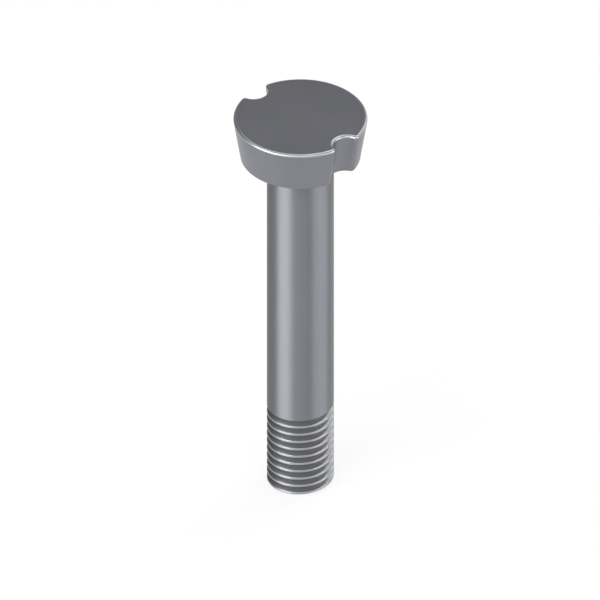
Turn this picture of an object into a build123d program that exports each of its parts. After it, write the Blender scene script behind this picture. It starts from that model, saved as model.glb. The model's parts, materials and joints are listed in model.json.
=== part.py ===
from build123d import *
from math import radians, sqrt, tan
import os

# Round-headed T-slot bolt, made as one piece. It stands on its threaded end:
# +Z runs up the shank to the head, and the origin is the centre of the end face.
# The head's two notches are on the +X and -X sides.

# Shank, in millimetres
shank_diameter = 19.05
under_head_length = 112.2   # from the end face to the head's seat
end_chamfer = 0.3           # on the edge of the end face, at 45 degrees

# Head: a short cone, widest at its flat top
head_height = 12.9
head_top_diameter = 38.3    # before the rim is rounded
head_seat_diameter = 34.2
rim_radius = 0.6            # rounds the top edge, all round and along the notches

# Notches: two leaning half-round channels down the full height of the head
notch_top_radius = 4.0
notch_top_reach = 14.9      # from the bolt's axis to the innermost line, at the top face
notch_seat_radius = 4.5
notch_seat_reach = 13.35    # the same at the seat
notch_corner_radius = 1.15  # rounds the corners between the notches and the head's side

# Thread: right-hand, cut into the shank
thread_pitch = 2.54
thread_crest = 0.64         # width of the flat left between two turns
thread_root = 0.1           # width of the flat at the bottom of the groove
flank_angle = 30.0          # degrees, from a flank to a line square to the axis
thread_length = 26.2        # from the end face to where the groove's middle stops
runout_radius = 8.0         # the groove lifts out of the shank along an arc of this size

# Worked out from the above
shank_radius = shank_diameter / 2
head_top = under_head_length + head_height
flank_slope = tan(radians(flank_angle))
groove_depth = (thread_pitch - thread_crest - thread_root) / 2 / flank_slope
root_radius = shank_radius - groove_depth
half_root = thread_root / 2
cutter_reach = groove_depth + thread_crest / 4 / flank_slope
half_mouth = half_root + cutter_reach * flank_slope

# The groove's cutter starts on the +X side, one turn under the end face, and climbs the shank
with BuildPart() as groove:
    with BuildLine() as groove_path:
        Helix(
            pitch=thread_pitch,
            height=thread_length + thread_pitch,
            radius=root_radius,
            center=(0, 0, -thread_pitch),
        )
    with BuildSketch(Plane(groove_path.line @ 0, x_dir=(1, 0, 0), z_dir=(0, -1, 0))):
        with BuildLine():
            Polyline(
                (0, -half_root),
                (cutter_reach, -half_mouth),
                (cutter_reach, half_mouth),
                (0, half_root),
                close=True,
            )
        make_face()
    sweep(path=groove_path.line, is_frenet=True)

# The run-out's cutter is a disc with the groove's section, touching the helix at its end
groove_end = groove_path.line @ 1
outward = Vector(groove_end.X, groove_end.Y, 0).normalized()
runout_plane = Plane(groove_end, x_dir=outward, z_dir=-(groove_path.line % 1))
with BuildPart() as runout:
    with BuildSketch(runout_plane):
        with BuildLine():
            Polyline(
                (0, -half_root),
                (cutter_reach, -half_mouth),
                (runout_radius, -half_mouth),
                (runout_radius, half_mouth),
                (cutter_reach, half_mouth),
                (0, half_root),
                close=True,
            )
        make_face()
    revolve(axis=Axis(groove_end + outward * runout_radius, runout_plane.y_dir))

with BuildPart() as bolt:
    # Shank, with its thread cut before the end is chamfered
    with BuildSketch():
        Circle(shank_radius)
    extrude(amount=under_head_length)
    add(groove.part, mode=Mode.SUBTRACT)
    add(runout.part, mode=Mode.SUBTRACT)
    with BuildSketch(Plane.XZ):
        with Locations((shank_radius, 0)):
            Rectangle(end_chamfer * sqrt(2), end_chamfer * sqrt(2), rotation=45)
    revolve(axis=Axis.Z, mode=Mode.SUBTRACT)

    # Head
    with BuildSketch(Plane.XZ):
        with BuildLine():
            Polyline(
                (0, under_head_length),
                (head_seat_diameter / 2, under_head_length),
                (head_top_diameter / 2, head_top),
                (0, head_top),
                close=True,
            )
        make_face()
    revolve(axis=Axis.Z)

    # Notches, lofted from the seat to the top face
    for side in (0, 180):
        with BuildSketch(Plane.XY.offset(under_head_length)):
            with PolarLocations(notch_seat_reach + notch_seat_radius, 1, start_angle=side):
                Circle(notch_seat_radius)
        with BuildSketch(Plane.XY.offset(head_top)):
            with PolarLocations(notch_top_reach + notch_top_radius, 1, start_angle=side):
                Circle(notch_top_radius)
        loft(mode=Mode.SUBTRACT)

    # The corners beside the notches are rounded first, then the rim
    head_edges = bolt.edges().filter_by_position(Axis.Z, under_head_length, head_top)
    corners = head_edges.filter_by(lambda edge: edge.bounding_box().size.Z > head_height / 2)
    fillet(corners, notch_corner_radius)
    fillet(bolt.faces().sort_by(Axis.Z)[-1].outer_wire().edges(), rim_radius)

os.makedirs("parts", exist_ok=True)
bolt.part.label = "t_slot_bolt"
export_step(bolt.part, "parts/t_slot_bolt.step")
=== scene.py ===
import json
import math

import bmesh
import bpy
from mathutils import Matrix, Vector


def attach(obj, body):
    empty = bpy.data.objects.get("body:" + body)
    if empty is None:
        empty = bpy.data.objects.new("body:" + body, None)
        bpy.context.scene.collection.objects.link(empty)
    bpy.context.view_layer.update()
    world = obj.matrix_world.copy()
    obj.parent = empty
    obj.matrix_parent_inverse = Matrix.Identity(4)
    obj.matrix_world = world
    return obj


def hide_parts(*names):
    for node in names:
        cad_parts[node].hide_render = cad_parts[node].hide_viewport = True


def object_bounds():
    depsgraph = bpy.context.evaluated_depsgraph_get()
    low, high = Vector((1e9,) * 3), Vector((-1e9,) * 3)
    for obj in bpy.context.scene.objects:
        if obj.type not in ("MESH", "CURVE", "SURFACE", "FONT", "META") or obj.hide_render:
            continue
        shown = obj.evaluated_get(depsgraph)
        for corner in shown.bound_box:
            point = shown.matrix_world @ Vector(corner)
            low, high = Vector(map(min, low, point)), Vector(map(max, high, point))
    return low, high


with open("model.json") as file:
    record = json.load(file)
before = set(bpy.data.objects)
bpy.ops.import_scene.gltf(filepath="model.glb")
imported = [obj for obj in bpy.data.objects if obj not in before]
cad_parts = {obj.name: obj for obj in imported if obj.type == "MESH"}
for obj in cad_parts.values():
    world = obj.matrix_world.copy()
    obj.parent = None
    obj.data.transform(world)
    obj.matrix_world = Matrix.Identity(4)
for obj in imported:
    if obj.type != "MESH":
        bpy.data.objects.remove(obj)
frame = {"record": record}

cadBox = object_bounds()
mounts = {mount["name"]: mount for mount in frame["record"]["mounts"]}


def vertsOf(edges):
    return list(dict.fromkeys(vert for edge in edges for vert in edge.verts))


def linkMesh(bm, name, materials):
    mesh = bpy.data.meshes.new(name)
    bm.to_mesh(mesh)
    bm.free()
    for material in materials:
        mesh.materials.append(material)
    piece = bpy.data.objects.new(name, mesh)
    bpy.context.scene.collection.objects.link(piece)
    return piece


def setInputs(node, values):
    for key, value in values.items():
        node.inputs[key].default_value = value
    return node


def addMath(tree, operation, first, second=0.0):
    node = tree.nodes.new("ShaderNodeMath")
    node.operation = operation
    for socket, value in zip(node.inputs, (first, second)):
        if isinstance(value, (int, float)):
            socket.default_value = value
        else:
            tree.links.new(value, socket)
    return node.outputs[0]


marks = {
    "name": "toolMarks",
    "patchScale": 85.0,  # soft patches of tone, per metre
    "patchDetail": 3.0,
    "middle": 0.5,  # both textures vary about this value
    "ringDetail": 2.0,
}


# Tool marks: fine rings along the axis or out from it, over soft patches of tone
def buildMarks(settings):
    group = bpy.data.node_groups.new(settings["name"], "ShaderNodeTree")
    for name, kind, side in (
        ("Color", "NodeSocketColor", "INPUT"),
        ("Roughness", "NodeSocketFloat", "INPUT"),
        ("Rings per Metre", "NodeSocketFloat", "INPUT"),
        ("Along Axis", "NodeSocketFloat", "INPUT"),
        ("Ring Share", "NodeSocketFloat", "INPUT"),
        ("Patch Share", "NodeSocketFloat", "INPUT"),
        ("Color", "NodeSocketColor", "OUTPUT"),
        ("Roughness", "NodeSocketFloat", "OUTPUT"),
        ("Height", "NodeSocketFloat", "OUTPUT"),
    ):
        group.interface.new_socket(name=name, in_out=side, socket_type=kind)
    nodes, links = group.nodes, group.links
    given = nodes.new("NodeGroupInput").outputs
    place = nodes.new("ShaderNodeTexCoord").outputs["Object"]
    parts = nodes.new("ShaderNodeSeparateXYZ")
    links.new(place, parts.inputs[0])
    x, y, z = parts.outputs
    square = addMath(group, "ADD", addMath(group, "MULTIPLY", x, x),
                     addMath(group, "MULTIPLY", y, y))
    radius = addMath(group, "SQRT", square)
    rise = addMath(group, "SUBTRACT", z, radius)
    travel = addMath(
        group, "ADD", radius, addMath(group, "MULTIPLY", rise, given["Along Axis"])
    )
    rings = nodes.new("ShaderNodeTexNoise")
    rings.noise_dimensions = "1D"
    setInputs(rings, {"Scale": 1.0, "Detail": settings["ringDetail"]})
    links.new(addMath(group, "MULTIPLY", travel, given["Rings per Metre"]), rings.inputs["W"])
    patches = setInputs(nodes.new("ShaderNodeTexNoise"), {
        "Scale": settings["patchScale"], "Detail": settings["patchDetail"],
    })
    links.new(place, patches.inputs["Vector"])
    tone = 1.0
    for texture, share in ((rings, "Ring Share"), (patches, "Patch Share")):
        offset = addMath(group, "SUBTRACT", texture.outputs[0], settings["middle"])
        tone = addMath(group, "ADD", addMath(group, "MULTIPLY", offset, given[share]), tone)
    tint = nodes.new("ShaderNodeVectorMath")
    tint.operation = "SCALE"
    links.new(given["Color"], tint.inputs["Vector"])
    links.new(tone, tint.inputs["Scale"])
    put = nodes.new("NodeGroupOutput").inputs
    links.new(tint.outputs["Vector"], put["Color"])
    links.new(addMath(group, "MULTIPLY", given["Roughness"], tone), put["Roughness"])
    links.new(rings.outputs[0], put["Height"])
    return group


# Rings run along the axis at 1 and out from it at 0; shares are of the tone; depths in metres
finishes = {
    "turned": {
        "name": "turnedSteel", "color": (0.20, 0.2035, 0.222), "roughness": 0.5,
        "anisotropy": 0.85, "turn": 0.25, "ringsPerMetre": 2600, "alongAxis": 1.0,
        "ringShare": 0.14, "patchShare": 0.08, "markDepth": 1.5e-6,
    },
    "forged": {
        "name": "forgedSteel", "color": (0.215, 0.219, 0.239), "roughness": 0.42,
        "anisotropy": 0.0, "turn": 0.0, "ringsPerMetre": 1800, "alongAxis": 1.0,
        "ringShare": 0.06, "patchShare": 0.14, "markDepth": 0.0,
    },
    "faced": {
        "name": "facedSteel", "color": (0.20, 0.2035, 0.222), "roughness": 0.38,
        "anisotropy": 0.0, "turn": 0.0, "ringsPerMetre": 1900, "alongAxis": 0.0,
        "ringShare": 0.12, "patchShare": 0.08, "markDepth": 1.5e-6,
    },
    # The flank colour is lighter than the shank's to lift the shade in the thread's grooves:
    # painted light
    "flank": {
        "name": "flankPaintedLightSteel", "color": (0.28, 0.284, 0.297), "roughness": 0.34,
        "anisotropy": 0.0, "turn": 0.0, "ringsPerMetre": 5000, "alongAxis": 0.0,
        "ringShare": 0.1, "patchShare": 0.06, "markDepth": 0.0,
    },
    # The crest colour is lighter than the shank's: a painted highlight on the thread's crests
    "crest": {
        "name": "crestPaintedHighlightSteel", "color": (0.33, 0.334, 0.35), "roughness": 0.45,
        "anisotropy": 0.8, "turn": 0.25, "ringsPerMetre": 2600, "alongAxis": 1.0,
        "ringShare": 0.1, "patchShare": 0.06, "markDepth": 0.0,
    },
    # The rim colour is lighter than the head's side: a painted highlight along the head's top
    # edge
    "rim": {
        "name": "rimPaintedHighlightSteel", "color": (0.33, 0.333, 0.352), "roughness": 0.36,
        "anisotropy": 0.0, "turn": 0.0, "ringsPerMetre": 2600, "alongAxis": 1.0,
        "ringShare": 0.06, "patchShare": 0.08, "markDepth": 0.0,
    },
}


def buildSteel(finish, markGroup):
    material = bpy.data.materials.new(finish["name"])
    material.use_nodes = True
    nodes, links = material.node_tree.nodes, material.node_tree.links
    shader = setInputs(nodes["Principled BSDF"], {
        "Metallic": 1.0,
        "Anisotropic": finish["anisotropy"],
        "Anisotropic Rotation": finish["turn"],
    })
    group = nodes.new("ShaderNodeGroup")
    group.node_tree = markGroup
    setInputs(group, {
        "Color": (*finish["color"], 1.0),
        "Roughness": finish["roughness"],
        "Rings per Metre": finish["ringsPerMetre"],
        "Along Axis": finish["alongAxis"],
        "Ring Share": finish["ringShare"],
        "Patch Share": finish["patchShare"],
    })
    links.new(group.outputs["Color"], shader.inputs["Base Color"])
    links.new(group.outputs["Roughness"], shader.inputs["Roughness"])
    if finish["markDepth"]:
        bump = setInputs(nodes.new("ShaderNodeBump"), {"Distance": finish["markDepth"]})
        links.new(group.outputs["Height"], bump.inputs["Height"])
        links.new(bump.outputs["Normal"], shader.inputs["Normal"])
    return material


# Lengths in metres
bolt = {
    "name": "boltBody",
    "slot": "steel",
    "headTopRadius": 0.01915,
    "headSeatRadius": 0.0171,
    "rimRadius": 0.0007,
    "rimSteps": 5,
    "notchTopRadius": 0.004,
    "notchTopReach": 0.0149,
    "notchSeatRadius": 0.0045,
    "notchSeatReach": 0.01335,
    "cornerRadius": 0.00115,
    "arcSteps": {"notch": 14, "corner": 8, "side": 40},
    "pitch": 0.00254,
    "crestWidth": 0.00064,
    "rootWidth": 0.0001,
    "flankAngle": math.radians(30),
    "crestRound": 0.00009,
    "crestSteps": 4,
    "crestEdge": 0.00944,  # the crest's lighter colour, a painted highlight, starts at this radius
    "rootRound": 0.00004,
    "rootSteps": 2,
    "grooveEnd": 0.0262,
    "runoutRadius": 0.008,
    "runoutTurn": 0.06,  # share of a turn in which the groove fades out
    "flushRadius": 0.009515,  # past this radius a face of the last groove has faded
    "stepsPerTurn": 128,
    "endChamfer": 0.0003,
    "mergeDistance": 1e-6,
    "liftMargin": 1e-7,  # points this near the shank's radius stay where they are
    "levelNormal": 0.999,  # a face counts as level past this share of its normal
    "sharpAngle": math.radians(32),
}


def spinVert(bm, vert, center, angle, steps):
    made = bmesh.ops.spin(
        bm, geom=[vert], cent=center, axis=(0, 0, 1), angle=angle, steps=steps
    )
    return next(item for item in made["geom_last"] if isinstance(item, bmesh.types.BMVert))


# One quarter of the head's outline runs from the notch's innermost point to +Y,
# then it is mirrored twice
def addHeadOutline(bm, shape, height, headRadius, notchRadius, notchReach):
    steps = shape["arcSteps"]
    corner = shape["cornerRadius"]
    notchCenter = notchReach + notchRadius
    toCorner = headRadius - corner
    fromNotch = notchRadius + corner
    cornerAngle = math.acos(
        (toCorner ** 2 + notchCenter ** 2 - fromNotch ** 2) / (2 * toCorner * notchCenter)
    )
    cornerX = toCorner * math.cos(cornerAngle)
    cornerY = toCorner * math.sin(cornerAngle)
    notchSweep = math.atan2(cornerY, notchCenter - cornerX)
    oldEdges = set(bm.edges)
    vert = bm.verts.new((notchReach, 0, height))
    vert = spinVert(bm, vert, (notchCenter, 0, height), -notchSweep, steps["notch"])
    vert = spinVert(
        bm, vert, (cornerX, cornerY, height), notchSweep + cornerAngle, steps["corner"]
    )
    spinVert(bm, vert, (0, 0, height), math.pi / 2 - cornerAngle, steps["side"])
    for axis in "XY":
        edges = [edge for edge in bm.edges if edge not in oldEdges]
        bmesh.ops.mirror(
            bm, geom=edges + vertsOf(edges), matrix=Matrix(),
            merge_dist=shape["mergeDistance"], axis=axis,
        )
    edges = [edge for edge in bm.edges if edge not in oldEdges]
    bmesh.ops.remove_doubles(bm, verts=vertsOf(edges), dist=shape["mergeDistance"])
    return [edge for edge in bm.edges if edge not in oldEdges]


# The thread is one groove section spun up a helix, with its turns merged
def addThread(bm, shape, shankRadius):
    pitch = shape["pitch"]
    slope = math.tan(shape["flankAngle"])
    halfRoot = shape["rootWidth"] / 2
    halfMouth = (pitch - shape["crestWidth"]) / 2
    depth = (halfMouth - halfRoot) / slope
    rootRadius = shankRadius - depth
    startHeight = -2 * pitch
    section = [
        (shankRadius, -pitch / 2),
        (shankRadius, -halfMouth),
        (rootRadius, -halfRoot),
        (rootRadius, halfRoot),
        (shankRadius, halfMouth),
        (shankRadius, pitch / 2),
    ]
    verts = [bm.verts.new((radius, 0, startHeight + height)) for radius, height in section]
    for low, high in zip(verts, verts[1:]):
        bm.edges.new((low, high))
    for corners, rounding, segments in (
        ((verts[1], verts[4]), shape["crestRound"], shape["crestSteps"]),
        ((verts[2], verts[3]), shape["rootRound"], shape["rootSteps"]),
    ):
        bmesh.ops.bevel(
            bm, geom=list(corners), offset=rounding, segments=segments, profile=0.5,
            affect="VERTICES", material=-1,
        )
    clearHeight = shape["grooveEnd"] + pitch
    turns = math.ceil((clearHeight - startHeight) / pitch) + 1
    bmesh.ops.spin(
        bm, geom=bm.verts[:] + bm.edges[:], cent=(0, 0, 0), axis=(0, 0, 1),
        angle=2 * math.pi, steps=shape["stepsPerTurn"],
        dvec=(0, 0, pitch / shape["stepsPerTurn"]),
    )
    firstTurn = bm.verts[:] + bm.edges[:] + bm.faces[:]
    for turn in range(1, turns):
        copied = bmesh.ops.duplicate(bm, geom=firstTurn)["geom"]
        bmesh.ops.translate(
            bm, vec=(0, 0, turn * pitch),
            verts=[item for item in copied if isinstance(item, bmesh.types.BMVert)],
        )
    bmesh.ops.remove_doubles(bm, verts=bm.verts[:], dist=shape["mergeDistance"])
    return rootRadius, clearHeight


# Past its end the groove lifts out along the arc of a disc that touches it there
def liftRunout(bm, shape, shankRadius, rootRadius):
    pitch = shape["pitch"]
    discRadius = shape["runoutRadius"]
    discCenter = rootRadius + discRadius
    for vert in bm.verts:
        radius = vert.co.xy.length
        if radius > shankRadius - shape["liftMargin"]:
            continue
        turn = math.atan2(vert.co.y, vert.co.x) / (2 * math.pi)
        grooveHeight = pitch * (round(vert.co.z / pitch - turn) + turn)
        past = 2 * math.pi * (grooveHeight - shape["grooveEnd"]) / pitch
        if past <= 0:
            continue
        reach = discRadius ** 2 - (discCenter * math.sin(min(past, math.pi / 2))) ** 2
        lift = discCenter * math.cos(past) - math.sqrt(reach) if reach > 0 else shankRadius
        newRadius = min(shankRadius, radius + lift - rootRadius)
        vert.co.xy *= newRadius / radius


# Each face takes its finish from where it lies; the rim and crest finishes carry a painted
# highlight and the flank finish painted light
def pickFinish(face, shape, names, seatHeight, topHeight):
    center = face.calc_center_median()
    if abs(face.normal.z) > shape["levelNormal"]:
        return names.index("faced")
    if center.z > seatHeight:
        nearTop = center.z > topHeight - 2 * shape["rimRadius"]
        return names.index("rim" if nearTop else "forged")
    pitch = shape["pitch"]
    turn = math.atan2(center.y, center.x) / (2 * math.pi)
    lastTurn = math.floor(shape["grooveEnd"] / pitch + shape["runoutTurn"] - turn)
    aboveLast = center.z - pitch * (lastTurn + turn)
    halfMouth = (pitch - shape["crestWidth"]) / 2
    radius = center.xy.length
    if aboveLast > halfMouth or (aboveLast > -halfMouth and radius > shape["flushRadius"]):
        return names.index("turned")
    return names.index("crest" if radius > shape["crestEdge"] else "flank")


def buildBolt(shape, materials):
    names = list(materials)
    bm = bmesh.new()
    shankRadius = mounts["shank"]["dims"]["r_mm"] / 1000
    seatHeight = mounts["head_seat"]["pos_m"][2]
    topHeight = mounts["head_top"]["pos_m"][2]

    rootRadius, clearHeight = addThread(bm, shape, shankRadius)
    liftRunout(bm, shape, shankRadius, rootRadius)
    print("thread:", len(bm.faces), "faces")

    # The end: cut level, then chamfered down to the end face
    chamfer = shape["endChamfer"]
    cut = bmesh.ops.bisect_plane(
        bm, geom=bm.verts[:] + bm.edges[:] + bm.faces[:],
        plane_co=(0, 0, chamfer), plane_no=(0, 0, -1), clear_outer=True,
    )
    rim = [item for item in cut["geom_cut"] if isinstance(item, bmesh.types.BMEdge)]
    made = bmesh.ops.extrude_edge_only(bm, edges=rim)["geom"]
    lowVerts = [item for item in made if isinstance(item, bmesh.types.BMVert)]
    lowEdges = [item for item in made if isinstance(item, bmesh.types.BMEdge)]
    shrink = (shankRadius - chamfer) / shankRadius
    bmesh.ops.scale(bm, vec=(shrink, shrink, 1), verts=lowVerts)
    bmesh.ops.translate(bm, vec=(0, 0, -chamfer), verts=lowVerts)
    bmesh.ops.edgeloop_fill(bm, edges=lowEdges)

    # The plain shank up to the head's seat
    cut = bmesh.ops.bisect_plane(
        bm, geom=bm.verts[:] + bm.edges[:] + bm.faces[:],
        plane_co=(0, 0, clearHeight), plane_no=(0, 0, 1), clear_outer=True,
    )
    ring = [item for item in cut["geom_cut"] if isinstance(item, bmesh.types.BMEdge)]
    made = bmesh.ops.extrude_edge_only(bm, edges=ring)["geom"]
    ringVerts = [item for item in made if isinstance(item, bmesh.types.BMVert)]
    neckEdges = [item for item in made if isinstance(item, bmesh.types.BMEdge)]
    bmesh.ops.translate(bm, vec=(0, 0, seatHeight - clearHeight), verts=ringVerts)
    print("shank ring:", len(neckEdges), "edges")

    # The head between its two outlines
    seatLoop = addHeadOutline(
        bm, shape, seatHeight, shape["headSeatRadius"],
        shape["notchSeatRadius"], shape["notchSeatReach"],
    )
    topLoop = addHeadOutline(
        bm, shape, topHeight, shape["headTopRadius"],
        shape["notchTopRadius"], shape["notchTopReach"],
    )
    print("head outline:", len(seatLoop), len(topLoop), "edges")
    bmesh.ops.bridge_loops(bm, edges=neckEdges + seatLoop)
    bmesh.ops.bridge_loops(bm, edges=seatLoop + topLoop)
    bmesh.ops.edgeloop_fill(bm, edges=topLoop)
    sideAngle = math.atan2(
        topHeight - seatHeight, shape["headTopRadius"] - shape["headSeatRadius"]
    )
    bmesh.ops.bevel(
        bm, geom=topLoop + vertsOf(topLoop),
        offset=shape["rimRadius"] / math.tan(sideAngle / 2), offset_type="OFFSET",
        segments=shape["rimSteps"], profile=0.5, affect="EDGES", material=-1,
    )
    bmesh.ops.recalc_face_normals(bm, faces=bm.faces[:])
    for face in bm.faces:
        face.smooth = True
        face.material_index = pickFinish(face, shape, names, seatHeight, topHeight)
    print("open edges:", sum(1 for edge in bm.edges if not edge.is_manifold))

    piece = linkMesh(bm, shape["name"], materials.values())
    piece.data.set_sharp_from_angle(angle=shape["sharpAngle"])
    normals = piece.modifiers.new("evenShading", "WEIGHTED_NORMAL")
    normals.keep_sharp = True
    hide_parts("t_slot_bolt")
    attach(piece, "root")
    return piece


stage = {
    "floorHalfWidth": 3.0,
    "floorColor": (0.70, 0.70, 0.70, 1.0),
    "floorRoughness": 0.9,
    "floorGlow": 1.0,
    "glowShare": 0.8,  # the rest of the floor keeps the bolt's shadow
    "worldColor": (0.17, 0.17, 0.174, 1.0),
}


def buildFloor(settings):
    bm = bmesh.new()
    bmesh.ops.create_grid(bm, x_segments=1, y_segments=1, size=settings["floorHalfWidth"])
    material = bpy.data.materials.new("paperFloor")
    material.use_nodes = True
    nodes, links = material.node_tree.nodes, material.node_tree.links
    shader = nodes["Principled BSDF"]
    setInputs(shader, {
        "Base Color": settings["floorColor"],
        "Roughness": settings["floorRoughness"],
        "Specular IOR Level": 0.0,
    })
    glow = setInputs(nodes.new("ShaderNodeEmission"), {"Strength": settings["floorGlow"]})
    path = nodes.new("ShaderNodeLightPath")
    seen = addMath(material.node_tree, "MAXIMUM", path.outputs["Is Camera Ray"],
                   path.outputs["Is Glossy Ray"])
    seen = addMath(material.node_tree, "MAXIMUM", seen, path.outputs["Is Transmission Ray"])
    share = addMath(material.node_tree, "MULTIPLY", seen, settings["glowShare"])
    mix = nodes.new("ShaderNodeMixShader")
    links.new(share, mix.inputs[0])
    links.new(shader.outputs[0], mix.inputs[1])
    links.new(glow.outputs[0], mix.inputs[2])
    links.new(mix.outputs[0], nodes["Material Output"].inputs["Surface"])
    floor = linkMesh(bm, "floor", [material])
    print("floor laid")


def buildWorld(settings):
    world = bpy.data.worlds.new("studio")
    world.use_nodes = True
    setInputs(world.node_tree.nodes["Background"], {"Color": settings["worldColor"]})
    bpy.context.scene.world = world


# Each lamp is (name, angle from the camera's side, height angle, width, tallness, power)
lampRing = {
    "distance": 1.2,
    "lamps": [
        ("leftStrip", -53, 16, 1.0, 0.75, 21.5),
        ("rightStrip", 66, 10, 1.3, 0.5, 12.5),
        ("frontPanel", 0, 36, 1.1, 1.0, 9.5),
        ("leftHigh", -92, 55, 0.6, 0.5, 1.1),
        ("backLeft", -155, 64, 0.6, 0.6, 2.2),
        ("backRight", 140, 60, 0.7, 0.7, 6.2),
        ("backKicker", 132, 20, 0.6, 0.6, 2.7),
    ],
}

camera = {
    "azimuth": 45,
    "elevation": 35.264,
    "viewWidth": 0.17035,
    "aimHeight": 0.4914,  # share of the bolt's height at the middle of the view
    "aimLeft": 0.00012,
    "distance": 1.0,
    "clip": (0.01, 20),
}


def directionFrom(azimuth, elevation):
    turn, rise = math.radians(azimuth), math.radians(elevation)
    return Vector((
        math.sin(turn) * math.cos(rise), -math.cos(turn) * math.cos(rise), math.sin(rise)
    ))


def buildLamps(ring, target):
    for name, angle, height, width, tallness, power in ring["lamps"]:
        light = bpy.data.lights.new(name, "AREA")
        light.shape = "RECTANGLE"
        light.size = width
        light.size_y = tallness
        light.energy = power
        holder = bpy.data.objects.new(name, light)
        back = directionFrom(camera["azimuth"] + angle, height)
        holder.location = target + back * ring["distance"]
        holder.rotation_euler = back.to_track_quat("Z", "Y").to_euler()
        bpy.context.scene.collection.objects.link(holder)
    print("lamps:", len(ring["lamps"]))


def buildCamera(settings, low, high):
    view = bpy.data.cameras.new("camera")
    view.type = "ORTHO"
    view.ortho_scale = settings["viewWidth"]
    view.clip_start, view.clip_end = settings["clip"]
    holder = bpy.data.objects.new("camera", view)
    back = directionFrom(settings["azimuth"], settings["elevation"])
    left = back.cross(Vector((0, 0, 1))).normalized()
    aim = Vector((0, 0, low.z + (high.z - low.z) * settings["aimHeight"]))
    holder.location = aim + left * settings["aimLeft"] + back * settings["distance"]
    holder.rotation_euler = back.to_track_quat("Z", "Y").to_euler()
    bpy.context.scene.collection.objects.link(holder)
    bpy.context.scene.camera = holder
    print("camera set")
    return aim


aimPoint = buildCamera(camera, *cadBox)
markGroup = buildMarks(marks)
steels = {name: buildSteel(finish, markGroup) for name, finish in finishes.items()}
print("finishes:", len(steels))
buildBolt(bolt, steels)
buildFloor(stage)
buildWorld(stage)
buildLamps(lampRing, aimPoint)
bpy.context.scene.view_settings.view_transform = "Standard"
